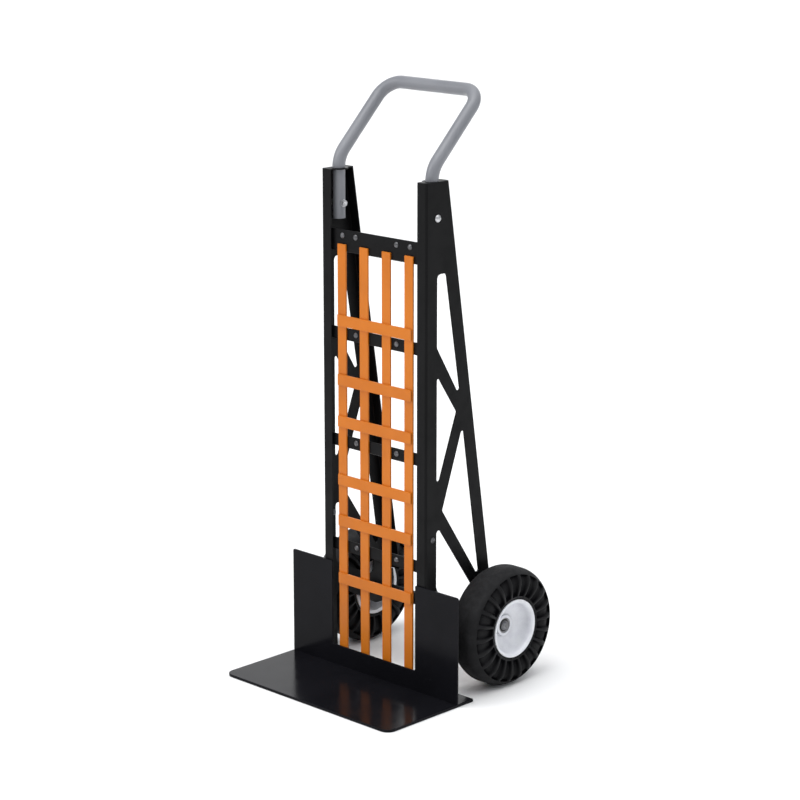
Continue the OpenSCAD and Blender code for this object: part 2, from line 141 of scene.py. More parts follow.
def powder_coat(name, base, dark, worn, rough, peel, level=0.5, scratch=0.5, dust=0.0, flecks=0.25):
    """Baked powder coat: orange peel, slight colour drift, thin rub marks and worn edges."""
    p = Paint(name)
    drift = p.noise(9.0, 4.0)
    speck = p.noise(700.0, 2.0)
    colour = p.mix(p.ramp(drift, 0.35, 0.7), base, dark)
    colour = p.mix(p.ramp(speck, 0.62, 0.8, 0.0, flecks), colour, worn)
    marks = p.noise(1.0, 5.0, stretch=(260, 22, 22), roughness=0.65)
    cross = p.noise(1.0, 5.0, stretch=(18, 210, 30), roughness=0.65)
    lines = p.calc("MAXIMUM", p.ramp(marks, 0.66, 0.74), p.ramp(cross, 0.67, 0.75))
    patch = p.ramp(p.noise(14.0, 3.0), 0.5, 0.68)
    lines = p.calc("MULTIPLY", lines, p.calc("MULTIPLY", patch, scratch))
    colour = p.mix(p.calc("MULTIPLY", lines, 0.3), colour, worn)
    chips = p.calc("MULTIPLY", p.edges(0.0012), p.ramp(p.noise(120.0, 4.0), 0.42, 0.66))
    colour = p.mix(p.calc("MULTIPLY", chips, 0.55), colour, worn)
    if dust:
        high = p.add("ShaderNodeSeparateXYZ", {0: p.place}, out=2)
        film = p.calc("MULTIPLY", p.ramp(high, 0.30, 0.0), p.ramp(p.noise(30.0, 5.0), 0.4, 0.75))
        colour = p.mix(p.calc("MULTIPLY", film, dust), colour, grey(0.16, 0.92))
    shine = p.ramp(p.noise(26.0, 4.0), 0.3, 0.75, rough * 0.82, rough * 1.3)
    shine = p.calc("ADD", shine, p.calc("MULTIPLY", lines, 0.25))
    shine = p.calc("ADD", shine, p.calc("MULTIPLY", chips, 0.2))
    normal = p.bump(p.noise(420.0, 2.0), peel)
    normal = p.bump(p.noise(1500.0, 1.0), peel * 0.25, normal)
    return p.finish(Base_Color=colour, Roughness=shine, Normal=normal, Specular_IOR_Level=level)


def rubber(name):
    """Moulded tyre rubber: dull tread scuffed grey, darker and smoother side walls, with painted
    shade darkening the pockets and dimming their reflection.
    """
    p = Paint(name)
    xyz = p.add("ShaderNodeVectorMath", {0: p.place, 1: (0, (AXLE_Y + DATUM_Y) * MM, AXLE_Z * MM)},
                operation="SUBTRACT")
    flat = p.add("ShaderNodeVectorMath", {0: xyz, 1: (0, 1, 1)}, operation="MULTIPLY")
    radius = p.add("ShaderNodeVectorMath", {0: flat}, out="Value", operation="LENGTH")
    tread = p.ramp(radius, 0.1215, 0.1305)
    scuff = p.ramp(p.noise(60.0, 6.0, roughness=0.7), 0.3, 0.75)
    colour = p.mix(p.ramp(p.noise(20.0, 4.0), 0.3, 0.7), grey(0.0046, 1.12), grey(0.0068, 1.12))
    worn = p.mix(scuff, grey(0.0125, 1.08), grey(0.0235, 1.06))
    colour = p.mix(p.calc("MULTIPLY", tread, 0.85), colour, worn)
    bloom = p.ramp(p.noise(340.0, 5.0, roughness=0.7), 0.55, 0.8, 0.0, 0.12)
    colour = p.mix(bloom, colour, grey(0.042))
    # Ambient occlusion paints shade: the pocket floors are darkened towards black.
    painted_shade_ao = p.add("ShaderNodeAmbientOcclusion", {"Distance": 0.02}, out="AO", samples=8,
                     only_local=True)
    painted_shade_ao = p.ramp(painted_shade_ao, 0.58, 1.0)
    colour = p.mix(painted_shade_ao, grey(0.0036, 1.2), colour)
    shine = p.calc("ADD", p.ramp(p.noise(45.0, 4.0), 0.3, 0.7, 0.46, 0.62),
                   p.calc("MULTIPLY", tread, 0.24))
    grain = p.calc("MULTIPLY", p.noise(900.0, 3.0), p.calc("ADD", tread, 0.35))
    normal = p.bump(grain, 0.00035)
    normal = p.bump(p.noise(110.0, 4.0), 0.0003, normal)
    # The same occlusion dims the reflection in the pockets: painted shade.
    return p.finish(Base_Color=colour, Roughness=shine, Normal=normal,
                    Specular_IOR_Level=p.calc("MULTIPLY", painted_shade_ao, 0.18))


def nylon(name):
    """White moulded nylon with faint flow marks, a little grime in the grain and painted shade in
    the dish's corners.
    """
    p = Paint(name)
    flow = p.noise(1.0, 3.0, stretch=(30, 70, 70))
    colour = p.mix(p.ramp(flow, 0.35, 0.7), (0.80, 0.81, 0.84, 1), (0.74, 0.745, 0.785, 1))
    grime = p.ramp(p.noise(420.0, 5.0, roughness=0.7), 0.63, 0.82, 0.0, 0.35)
    colour = p.mix(grime, colour, (0.42, 0.42, 0.44, 1))
    # Ambient occlusion paints shade: darker grey where the dish meets the boss and the barrel.
    painted_dish_shade_ao = p.add("ShaderNodeAmbientOcclusion", {"Distance": 0.05}, out="AO", samples=8)
    colour = p.mix(p.ramp(painted_dish_shade_ao, 0.80, 0.35, 0.0, 0.65), colour, (0.34, 0.35, 0.37, 1))
    shine = p.ramp(p.noise(50.0, 4.0), 0.3, 0.7, 0.30, 0.46)
    normal = p.bump(p.noise(650.0, 2.0), 0.00006)
    return p.finish(Base_Color=colour, Roughness=shine, Normal=normal, Subsurface_Weight=0.08,
                    Subsurface_Radius=(0.004, 0.004, 0.005), Subsurface_Scale=1.0)


def metal(name, base, dark, rough, lines=(0, 0, 0), grain=0.00002):
    """Bare or plated steel: cloudy plating, tool lines along the stretched axis, soft pitting."""
    p = Paint(name)
    cloud = p.ramp(p.noise(140.0, 5.0, roughness=0.65), 0.3, 0.72)
    colour = p.mix(cloud, base, dark)
    pits = p.ramp(p.noise(1400.0, 3.0), 0.62, 0.78, 0.0, 0.45)
    colour = p.mix(pits, colour, grey(0.12))
    turned = p.noise(1.0, 3.0, stretch=lines) if any(lines) else p.noise(600.0, 3.0)
    shine = p.calc("ADD", p.ramp(cloud, 0.0, 1.0, rough * 0.8, rough * 1.35),
                   p.calc("MULTIPLY", turned, 0.12))
    normal = p.bump(turned, grain)
    return p.finish(Base_Color=colour, Roughness=shine, Metallic=1.0, Normal=normal)


def seal_rubber(name):
    """Thin moulded seal, mottled and slightly rough."""
    p = Paint(name)
    colour = p.mix(p.noise(300.0, 4.0), grey(0.012), grey(0.035))
    shine = p.ramp(p.noise(200.0, 3.0), 0.3, 0.7, 0.45, 0.65)
    normal = p.bump(p.noise(1200.0, 2.0), 0.00004)
    return p.finish(Base_Color=colour, Roughness=shine, Normal=normal)


def floor_paint(name):
    """Plain pale studio floor."""
    p = Paint(name)
    colour = p.mix(p.ramp(p.noise(0.8, 3.0), 0.3, 0.7), grey(0.90, 0.998), grey(0.885, 0.998))
    shine = p.ramp(p.noise(3.0, 4.0), 0.3, 0.7, 0.7, 0.8)
    normal = p.bump(p.noise(90.0, 3.0), 0.0001)
    return p.finish(Base_Color=colour, Roughness=shine, Normal=normal, Specular_IOR_Level=0.1)


LOOKS = {
    "frame_black": powder_coat("frame_black", grey(0.0054, 1.08), grey(0.0042, 1.08),
                               grey(0.055), 0.42, 0.00011, level=0.10, dust=0.12),
    "plate_black": powder_coat("plate_black", grey(0.0074, 1.28), grey(0.0056, 1.28),
                               grey(0.07, 1.1), 0.17, 0.00004, level=0.07, scratch=0.5),
    "grid_orange": powder_coat("grid_orange", (0.62, 0.172, 0.009, 1), (0.56, 0.150, 0.007, 1),
                               (0.42, 0.11, 0.01, 1), 0.36, 0.00009, level=0.25, scratch=0.25,
                               flecks=0.12),
    "handle_grey": powder_coat("handle_grey", (0.228, 0.234, 0.254, 1), (0.200, 0.206, 0.225, 1),
                               grey(0.15), 0.36, 0.00008, scratch=0.4, flecks=0.12),
    "zinc": metal("zinc", (0.66, 0.67, 0.69, 1), (0.50, 0.50, 0.50, 1), 0.30),
    # Darker copy of the zinc for the axle caps: painted shade for the caps sunk in the hub.
    "zinc_painted_shade": metal("zinc_painted_shade", grey(0.30, 1.02), grey(0.22, 1.02), 0.5),
    "bolt_black": metal("bolt_black", grey(0.18, 1.04), grey(0.10, 1.04), 0.37),
    "axle_steel": metal("axle_steel", grey(0.46), grey(0.33), 0.34, (900, 40, 40), 0.00003),
    # Bearing steel is darker than the axle steel: painted shade for the bearings deep inside the
    # hub.
    "bearing_steel": metal("bearing_steel", grey(0.34), grey(0.24), 0.26, (1200, 60, 60), 0.00001),
    "seal_black": seal_rubber("seal_black"),
    "tyre_rubber": rubber("tyre_rubber"),
    "rim_white": nylon("rim_white"),
}


# Mesh code ---------------------------------------------------------------

def unit(v):
    n = math.hypot(*v)
    return tuple(c / n for c in v)


def arc_corner(a, b, c, r, n):
    """Points that round corner b, between a and c, to radius r."""
    ux, uy = unit((a[0] - b[0], a[1] - b[1]))
    wx, wy = unit((c[0] - b[0], c[1] - b[1]))
    half = math.acos(max(-1.0, min(1.0, ux * wx + uy * wy))) / 2
    if half > PI / 2 - 1e-4:
        return [(b[0], b[1])]
    mx, my = unit((ux + wx, uy + wy))
    mid = (b[0] + mx * r / math.sin(half), b[1] + my * r / math.sin(half))
    t = r / math.tan(half)
    s, e = (b[0] + ux * t, b[1] + uy * t), (b[0] + wx * t, b[1] + wy * t)
    t0 = math.atan2(s[1] - mid[1], s[0] - mid[0])
    turn = math.atan2(e[1] - mid[1], e[0] - mid[0]) - t0
    turn = (turn + PI) % (2 * PI) - PI
    return [(mid[0] + r * math.cos(t0 + turn * i / n), mid[1] + r * math.sin(t0 + turn * i / n))
            for i in range(n + 1)]


def rounded(points, n=8):
    """Outline of [u, v, radius] corners, each rounded to its own radius."""
    out = []
    for i, b in enumerate(points):
        a, c = points[i - 1], points[(i + 1) % len(points)]
        out += arc_corner(a, b, c, b[2], n) if b[2] else [(b[0], b[1])]
    return out


def ring_of(centre, r, n=24):
    return [(centre[0] + r * math.cos(2 * PI * i / n), centre[1] + r * math.sin(2 * PI * i / n))
            for i in range(n)]


def area(loop):
    return sum(a[0] * b[1] - b[0] * a[1] for a, b in zip(loop, loop[1:] + loop[:1])) / 2


def inset(loop, d):
    """The outline moved d towards its left-hand side, with mitred corners."""
    out = []
    for i, p in enumerate(loop):
        a, b = loop[i - 1], loop[(i + 1) % len(loop)]
        d0 = unit((p[0] - a[0], p[1] - a[1]))
        d1 = unit((b[0] - p[0], b[1] - p[1]))
        n0, n1 = (-d0[1], d0[0]), (-d1[1], d1[0])
        k = d / max(0.3, 1 + n0[0] * n1[0] + n0[1] * n1[1])
        out.append((p[0] + (n0[0] + n1[0]) * k, p[1] + (n0[1] + n1[1]) * k))
    return out


def plate(outline, holes=(), depth=3.0, edge=0.5, steps=3):
    """Closed plate in (u, v, w), w from 0 to depth: an outline with holes and rounded edges."""
    bm = bmesh.new()
    loops = [outline if area(outline) > 0 else outline[::-1]]
    loops += [h if area(h) < 0 else h[::-1] for h in holes]
    levels = []
    for k in range(steps + 1):
        t = k / steps * PI / 2
        levels.append((edge * (1 - math.sin(t)), edge * (1 - math.cos(t))))
    levels += [(d, depth - w) for d, w in reversed(levels)]
    caps = ([], [])
    for loop in loops:
        rings = [[bm.verts.new((*p, w)) for p in inset(loop, d)] for d, w in levels]
        n = len(loop)
        for lo, hi in zip(rings, rings[1:]):
            for i in range(n):
                bm.faces.new((lo[i], lo[(i + 1) % n], hi[(i + 1) % n], hi[i]))
        for cap, ring in zip(caps, (rings[0], rings[-1])):
            cap += [bm.edges.get((ring[i], ring[(i + 1) % n])) for i in range(n)]
    for cap in caps:
        bmesh.ops.triangle_fill(bm, use_beauty=True, use_dissolve=False, edges=cap)
    return bm


def put(bm, function):
    for v in bm.verts:
        v.co = function(*v.co)
    return bm


def revolve(bm, profile, n=96, closed=True):
    """Turns a (radius, x) profile about +X. A point on the axis stays one vertex."""
    rows = []
    for r, x in profile:
        if r < 1e-6:
            rows.append([bm.verts.new((x, 0, 0))] * n)
        else:
            rows.append([bm.verts.new((x, *p)) for p in ring_of((0, 0), r, n)])
    count = len(rows) if closed else len(rows) - 1
    for k in range(count):
        a, b = rows[k], rows[(k + 1) % len(rows)]
        for i in range(n):
            quad = []
            for v in (a[i], a[(i + 1) % n], b[(i + 1) % n], b[i]):
                if v not in quad:
                    quad.append(v)
            if len(quad) > 2:
                bm.faces.new(quad)
    return bm


def tube(bm, path, r_out, r_in, n=40):
    """Hollow tube along a path of points, open at both ends with the wall showing."""
    pts = [Vector(p) for p in path]
    ups, up = [], Vector((1, 0, 0))
    for i, p in enumerate(pts):
        d = (pts[min(i + 1, len(pts) - 1)] - pts[max(i - 1, 0)]).normalized()
        up = (up - d * up.dot(d)).normalized()
        ups.append((p, up.copy(), d.cross(up)))

    def ring(at, r, along=0.0):
        p, u, v = ups[at]
        d = u.cross(v)
        return [bm.verts.new(p + d * along + (u * math.cos(2 * PI * k / n)
                                             + v * math.sin(2 * PI * k / n)) * r) for k in range(n)]

    lip = 0.35
    last = len(pts) - 1
    rings = [ring(0, r_in + lip), ring(0, r_out - lip)]
    rings += [ring(0, r_out, lip)] + [ring(i, r_out) for i in range(1, last)]
    rings += [ring(last, r_out, -lip), ring(last, r_out - lip), ring(last, r_in + lip)]
    rings += [ring(last, r_in, -lip)] + [ring(i, r_in) for i in range(last - 1, 0, -1)]
    rings += [ring(0, r_in, lip)]
    for a, b in zip(rings, rings[1:] + rings[:1]):
        for k in range(n):
            bm.faces.new((a[k], a[(k + 1) % n], b[(k + 1) % n], b[k]))
    return bm


def bead(bm, stations, size):
    """Rippled weld bead: stations are (point, along, out1, out2, distance from the nearer end)."""
    arc, rows = 6, []
    for i, (p, d, n1, n2, end) in enumerate(stations):
        t = min(1.0, end / size)
        full = math.sqrt(max(0.02, 1 - (1 - t) ** 2))
        r = size * full * (1 + 0.09 * math.sin(i * PI / 2.0))
        row = []
        for k in range(arc + 1):
            a = k / arc * PI / 2
            flat = 1 - 0.16 * math.sin(2 * a)
            q = p + (n1 * math.cos(a) + n2 * math.sin(a)) * r * flat
            row.append(bm.verts.new(q + d * 0.35 * size * math.sin(2 * a)))
        row.append(bm.verts.new(p - (n1 + n2) * 0.25))
        rows.append(row)
    for a, b in zip(rows, rows[1:]):
        for k in range(len(a)):
            j = (k + 1) % len(a)
            bm.faces.new((a[k], a[j], b[j], b[k]))
    bm.faces.new(rows[0])
    bm.faces.new(rows[-1][::-1])


def straight_bead(bm, a, b, n1, n2, size=2.6):
    a, b, n1, n2 = Vector(a), Vector(b), Vector(n1), Vector(n2)
    length = (b - a).length
    d = (b - a) / length
    count = max(8, int(length / 0.55))
    bead(bm, [(a + d * length * i / count, d, n1, n2, min(i, count - i) * length / count + 0.2)
              for i in range(count + 1)], size)


def round_bead(bm, x, out, radius, size=2.6):
    """Bead round a tube of that radius where it meets a face at x, which looks along out."""
    count = 170
    rows = []
    for i in range(count + 1):
        t = 2 * PI * i / count * 0.996
        n1 = Vector((0, math.cos(t), math.sin(t)))
        d = Vector((0, -math.sin(t), math.cos(t)))
        p = Vector((x, AXLE_Y, AXLE_Z)) + n1 * radius
        rows.append((p, d, n1, Vector((out, 0, 0)), 9.0))
    bead(bm, rows, size)


def make(name, bm, look, body="frame", replaces=(), sharp=38, move=None, weighted=True):
    """Turns mesh code in mm, Y from the rail faces, into a piece of the model."""
    bmesh.ops.remove_doubles(bm, verts=bm.verts, dist=0.0004)
    bmesh.ops.recalc_face_normals(bm, faces=bm.faces)
    shift = Matrix.Translation((0, DATUM_Y * MM, 0)) @ Matrix.Diagonal((MM, MM, MM, 1))
    bm.transform(shift @ (move or Matrix.Identity(4)))
    mesh = bpy.data.meshes.new(name)
    bm.to_mesh(mesh)
    bm.free()
    mesh.materials.append(LOOKS[look])
    mesh.polygons.foreach_set("use_smooth", [True] * len(mesh.polygons))
    mesh.set_sharp_from_angle(angle=math.radians(sharp))
    piece = bpy.data.objects.new(name, mesh)
    bpy.context.scene.collection.objects.link(piece)
    if weighted:
        mod = piece.modifiers.new("even_shading", "WEIGHTED_NORMAL")
        mod.keep_sharp = True
        mod.weight = 60
    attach(piece, body)
    if replaces:
        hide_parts(*replaces)
    return piece


def mirrored(side):
    return Matrix.Diagonal((side, 1, 1, 1))


# Side frames: folded sheet -----------------------------------------------

BEND_OUT = 5.0
BEND_IN = BEND_OUT - SHEET
BEND_LEN = PI / 2 * (BEND_OUT + BEND_IN) / 2
TOP_D, SLOPE, LEG_W = 70.0, 0.155, 36.5
RAIL_D, FOOT_D = 34.0, 39.0
SILL_Z, BAR_H = 232.0, 38.0               # bottom bar of the side plate: top at the rail, depth
AXLE_BOSS_R = 31.0
WIN1_TOP, WIN1_IN = 941.0, 2.5            # top of the uppermost window, its rear corner's offset
BRACE1_TOP, BRACE1_LOW, BRACE1_TIP = 781.0, 722.0, (109.5, 657.0)
BRACE2_LOW, BRACE2_TIP = 461.0, (96.5, 630.0)
WIN3_FRONT, WIN3_TOP, WIN3_LOW = (52.0, 415.0), 599.0, 233.0
BRACE3_LOW, WIN4_Y, WIN4_TOP, WIN4_LOW = 387.5, 154.0, 215.0, 174.0
WEB_BOLT_R, AXLE_HOLE_R = 4.2, 7.96
SLANT = math.sqrt(1 + SLOPE * SLOPE)
LEG_IN = LEG_W * SLANT
REAR_E = (1 / SLANT, SLOPE / SLANT)      # outward normal of the sloping rear edge
REAR_FOOT = 178.0
REAR_EXT = BEND_LEN + FLANGE_W - 2 * BEND_OUT


def rear_y(z):
    return TOP_D + (RAIL_TOP - z) * SLOPE


def inner_y(z):
    return rear_y(z) - LEG_IN


def off_rear(z, out, down=0.0):
    """Point beside the rear edge: out beyond it, starting at height z and going down along it."""
    return (rear_y(z) + REAR_E[0] * out + REAR_E[1] * down,
            z + REAR_E[1] * out - REAR_E[0] * down)


def side_outline(front):
    """Flat side plate with both flanges laid out: front edge, rear strip, boss and bottom bar."""
    drop = (SILL_Z - AXLE_Z - AXLE_BOSS_R * 0.55) / (AXLE_Y - RAIL_D)
    under = SILL_Z - BAR_H * math.sqrt(1 + drop * drop) - 14
    notch = BEND_OUT + 1
    boss_z = AXLE_Z - AXLE_BOSS_R
    return rounded([(front, TOE_T, 0), (front, RAIL_TOP, 0), (TOP_D, RAIL_TOP, 0),
                    (*off_rear(RAIL_TOP, REAR_EXT), 1), (*off_rear(REAR_FOOT, REAR_EXT), 4),
                    (*off_rear(REAR_FOOT, -notch), 0.8), (*off_rear(REAR_FOOT, -notch, 3), 0.8),
                    (*off_rear(REAR_FOOT, 0, 3), 0),
                    (rear_y(AXLE_Z + 20), AXLE_Z + 20, 18), (AXLE_Y + AXLE_BOSS_R - 8, boss_z, 20),
                    (AXLE_Y - 22, boss_z, 14), (RAIL_D, under, 16), (FOOT_D, TOE_T, 0)], 12)


def side_holes():
    """Windows between the braces, the two bolt holes and the axle hole."""
    windows = [
        [(RAIL_D, WIN1_TOP, 10), (inner_y(WIN1_TOP) - WIN1_IN, WIN1_TOP, 8), (*BRACE1_TIP, 5),
         (RAIL_D, BRACE1_TOP, 10)],
        [(RAIL_D, BRACE1_LOW, 4), (*BRACE2_TIP, 6), (RAIL_D, BRACE2_LOW, 5)],
        [(*WIN3_FRONT, 6), (inner_y(WIN3_TOP), WIN3_TOP, 5), (inner_y(WIN3_LOW), WIN3_LOW, 5)],
        [(RAIL_D, BRACE3_LOW, 7), (WIN4_Y, WIN4_TOP, 8), (WIN4_Y, WIN4_LOW, 10),
         (RAIL_D, SILL_Z, 25)],
    ]
    out = [rounded(w, 10) for w in windows]
    out += [ring_of((LEG_Y, HANDLE_BOLT_Z), WEB_BOLT_R)]
    out += [ring_of((RAIL_BOLT_Y, RAIL_BOLT_Z), WEB_BOLT_R)]
    return out + [ring_of((AXLE_Y, AXLE_Z), AXLE_HOLE_R, 32)]


def side_frame():
    """Flat sheet with its windows, folded at the front corner and along the rear edge."""
    front = BEND_OUT - BEND_LEN - (FLANGE_W - BEND_OUT)
    bm = plate(side_outline(front), side_holes(), SHEET, 0.45)
    for i in range(9):
        d = BEND_OUT - BEND_LEN * i / 8
        folds = (((d, 0, 0), (1, 0, 0)), ((*off_rear(RAIL_TOP, -d), 0), (*REAR_E, 0)))
        for spot, normal in folds:
            bmesh.ops.bisect_plane(bm, geom=bm.verts[:] + bm.edges[:] + bm.faces[:], dist=1e-5,
                                   plane_co=spot, plane_no=normal)

    def bend(back, w):
        """Distance across the bend and depth below the face, for a point past its start."""
        if back >= BEND_LEN:
            return BEND_OUT - w, BEND_OUT + back - BEND_LEN
        t = back / BEND_LEN * PI / 2
        r = BEND_OUT - w
        return r * math.sin(t), BEND_OUT - r * math.cos(t)

    def fold(u, v, w):
        if u < BEND_OUT:
            across, deep = bend(BEND_OUT - u, w)
            return Vector((FACE_X - deep, BEND_OUT - across, v))
        back = BEND_OUT - (rear_y(v) - u) / SLANT
        along = (v - REAR_FOOT - SLOPE * (u - rear_y(REAR_FOOT))) / SLANT
        if back <= 0 or along < -1.5:
            return Vector((FACE_X - w, u, v))
        across, deep = bend(back, w)
        move = across - back
        return Vector((FACE_X - deep, u + REAR_E[0] * move, min(RAIL_TOP, v + REAR_E[1] * move)))

    return put(bm, fold)


for side, sign in SIDES:
    make("rail_" + side, side_frame(), "frame_black", replaces=["side_frame_" + side],
         move=mirrored(sign))

    r_eye = 21.0
    x0, x1 = FACE_X - FLANGE_W, WEB_X
    dx = LEG_X - x0
    touch = math.sqrt(r_eye ** 2 - dx ** 2)
    t0 = math.atan2(-touch, -dx)
    t1 = math.atan2(touch, -dx)
    y1 = TOP_D - SHEET * SLANT
    lid = [(x0, SHEET), (x1, SHEET), (x1, y1), (x0, y1), (x0, LEG_Y + touch)]
    steps = 20
    lid += [(LEG_X + r_eye * math.cos(t), LEG_Y + r_eye * math.sin(t))
            for t in [t1 + (t0 + 2 * PI - t1) * i / steps for i in range(1, steps)]]
    lid += [(x0, LEG_Y - touch)]
    bm = plate(lid, [ring_of((LEG_X, LEG_Y), TUBE_R + 0.2, 48)], SHEET, 0.4)
    put(bm, lambda u, v, w: Vector((u, v, RAIL_TOP - SHEET + w)))
    make("rail_lid_" + side, bm, "frame_black", replaces=["top_cap_" + side], move=mirrored(sign))


# Cross-members: folded angles --------------------------------------------

for name, z, tall in MEMBERS:
    y0, y1, t, r = MEMBER_Y, MEMBER_Y + MEMBER_D, SHEET, 4.0
    section = rounded([(y0, z, r), (y1, z, 0.6), (y1, z + t, 0.6), (y0 + t, z + t, r - t),
                       (y0 + t, z + tall, 0.6), (y0, z + tall, 0.6)], 5)
    bm = plate(section, (), 2 * WEB_X, 0.25, 2)
    put(bm, lambda u, v, w: Vector((w - WEB_X, u, v)))
    make("member_" + name, bm, "frame_black", replaces=["cross_member_" + name])


# Load grid ---------------------------------------------------------------

def flat_bar(node, edge=0.55, corner=1.2):
    """Flat steel bar that fills the box of its CAD node, standing up or lying across."""
    lo, hi = (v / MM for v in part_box(node))
    y0 = lo.y - DATUM_Y
    bm = plate(rounded([(lo.x, lo.z, corner), (hi.x, lo.z, corner), (hi.x, hi.z, corner),
                        (lo.x, hi.z, corner)], 5), (), hi.y - lo.y, edge)
    return put(bm, lambda u, v, w: Vector((u, y0 + w, v)))


TACK_HALF, TACK_SIZE = 8, 1.7             # weld tacks where the bars cross the straps
half_grid = 1.5 * STRAP_PITCH + STRAP_W / 2
for i in range(4):
    node = f"load_strap_{i + 1}"
    make(f"strap_{i + 1}", flat_bar(node), "grid_orange", replaces=[node])
for i in range(6):
    node = f"load_bar_{i + 1}"
    make(f"bar_{i + 1}", flat_bar(node), "grid_orange", replaces=[node])

bm = bmesh.new()
for z in BAR_Z:
    for i in range(4):
        x = (i - 1.5) * STRAP_PITCH
        for s in (-1, 1):
            if abs(x + s * STRAP_W / 2) > half_grid - 1:
                continue
            edge = x + s * STRAP_W / 2
            straight_bead(bm, (edge, STRAP_T, z - TACK_HALF), (edge, STRAP_T, z + TACK_HALF),
                          (s, 0, 0), (0, 1, 0), TACK_SIZE)
make("grid_tacks", bm, "grid_orange", sharp=60, weighted=False)


# Toe plate and back plate ------------------------------------------------

lo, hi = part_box("nose_plate")
w, y0, y1 = hi.x / MM, lo.y / MM - DATUM_Y, hi.y / MM - DATUM_Y
bm = plate(rounded([(-w, y0, 22), (w, y0, 22), (w, y1, 4), (-w, y1, 4)], 16), (), TOE_T, 1.1, 4)
make("toe_plate", bm, "plate_black", replaces=["nose_plate"])

BACK_T = 4.0
lo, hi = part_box("back_plate")
ear, strip, gap = hi.z / MM, 52.0, FACE_X - FLANGE_W - 1
bm = plate(rounded([(-w, TOE_T, 0), (w, TOE_T, 0), (w, ear, 4), (gap, ear, 3), (gap, strip, 5),
                    (-gap, strip, 5), (-gap, ear, 3), (-w, ear, 4)], 8), (), BACK_T, 0.6)
put(bm, lambda u, v, k: Vector((u, k - BACK_T, v)))
make("ear_plate", bm, "plate_black", replaces=["back_plate"])


# Handle ------------------------------------------------------------------

def bent_path(corners, radii, step=4.0):
    """Points along straight runs joined by arcs."""
    pts = [Vector(corners[0])]
    for a, b, c, r in zip(corners, corners[1:], corners[2:], radii):
        a, b, c = Vector(a), Vector(b), Vector(c)
        u, v = (a - b).normalized(), (c - b).normalized()
        half = u.angle(v) / 2
        t = r / math.tan(half)
        mid = b + (u + v).normalized() * r / math.sin(half)
        s, e = b + u * t - mid, b + v * t - mid
        total = s.angle(e)
        n = max(8, int(total * r / step))
        for i in range(n + 1):
            f = i / n
            spoke = s * math.sin((1 - f) * total) + e * math.sin(f * total)
            pts.append(mid + spoke / math.sin(total))
    pts.append(Vector(corners[-1]))
    return pts


top_y, top_z = LEG_Y + ARM_LEN * math.sin(ARM_TILT), KNEE_Z + ARM_LEN * math.cos(ARM_TILT)
corners = [(LEG_X, LEG_Y, LEG_FOOT), (LEG_X, LEG_Y, KNEE_Z), (LEG_X, top_y, top_z),
           (-LEG_X, top_y, top_z), (-LEG_X, LEG_Y, KNEE_Z), (-LEG_X, LEG_Y, LEG_FOOT)]
path = bent_path(corners, (60, 45, 45, 60))
make("handle", tube(bmesh.new(), path, TUBE_R, TUBE_R - TUBE_WALL), "handle_grey",
     replaces=["handle_loop"], weighted=False)


# Fasteners ---------------------------------------------------------------

def dome_profile(d, h):
    """(radius, x) points of a domed head with a short upright rim, from its rim to the axis."""
    rim = 0.7
    r = (d * d / 4 + (h - rim) ** 2) / (2 * (h - rim))
    half = math.asin(min(1.0, d / 2 / r))
    arc = [(r * math.sin(half * (1 - i / 9)), h - r + r * math.cos(half * (1 - i / 9)))
           for i in range(10)]
    arc[-1] = (0, h)
    return [(d / 2 - 0.15, 0), (d / 2, 0.15)] + arc


def bolt(bm, place, d_head, h_head, shank, threaded, d=8.0):
    """Domed bolt along +X with rolled threads on the last part of its shank."""
    root, crest, pitch = d / 2 - 0.6, d / 2, 1.25
    points = [(0, -shank), (root - 0.5, -shank), (root, -shank + 0.6)]
    x = -shank + 0.8
    while x < -shank + threaded:
        points += [(root, x), (crest, x + pitch * 0.45), (crest, x + pitch * 0.55)]
        x += pitch
    points += [(crest, x), (crest, 0)] + dome_profile(d_head, h_head)
    add(bm, revolve(bmesh.new(), points, 32, closed=False), place)


def add(bm, other, place):
    """Copies other, placed, into bm."""
    other.transform(place)
    made = {v: bm.verts.new(v.co) for v in other.verts}
    for f in other.faces:
        bm.faces.new([made[v] for v in f.verts])
    other.free()


def nut(bm, place, height=6.5, flats=13.0, bore=4.02):
    """Hexagon nut along +X: chamfered corners, countersunk bore."""
    n, half, face = 72, flats / 2, flats / 2 * 0.975
    rows = []

    def hexagon(t):
        return half / math.cos((t + PI / 6) % (PI / 3) - PI / 6)

    mesh = bmesh.new()
    slope = math.tan(math.radians(30))
    for end in (0, 1):
        outer = []
        for level in ("face", "corner"):
            row = []
            for i in range(n):
                t = 2 * PI * i / n
                r = face if level == "face" else hexagon(t)
                x = 0.0 if level == "face" else (r - face) * slope + 0.05
                x = height - x if end else x
                row.append(mesh.verts.new((x, r * math.cos(t), r * math.sin(t))))
            outer.append(row)
        inner = []
        for r, x in ((bore + 0.8, 0.0), (bore, 0.8)):
            x = height - x if end else x
            inner.append([mesh.verts.new((x, *p)) for p in ring_of((0, 0), r, n)])
        stack = [inner[1], inner[0], outer[0], outer[1]]
        rows += stack if not end else stack[::-1]
    for a, b in zip(rows, rows[1:] + rows[:1]):
        for i in range(n):
            mesh.faces.new((a[i], a[(i + 1) % n], b[(i + 1) % n], b[i]))
    add(bm, mesh, place)


def collar(bm, place, x0, x1, r_in, r_out, edge=0.3, n=64):
    """Ring with rounded edges, along +X."""
    points = rounded([(r_in, x0, edge), (r_out, x0, edge), (r_out, x1, edge), (r_in, x1, edge)], 3)
    add(bm, revolve(bmesh.new(), points, n), place)


def at(x, y, z, facing=(1, 0, 0), spin=0.0):
    turn = Vector((1, 0, 0)).rotation_difference(Vector(facing)).to_matrix().to_4x4()
    return Matrix.Translation((x, y, z)) @ turn @ Matrix.Rotation(math.radians(spin), 4, "X")


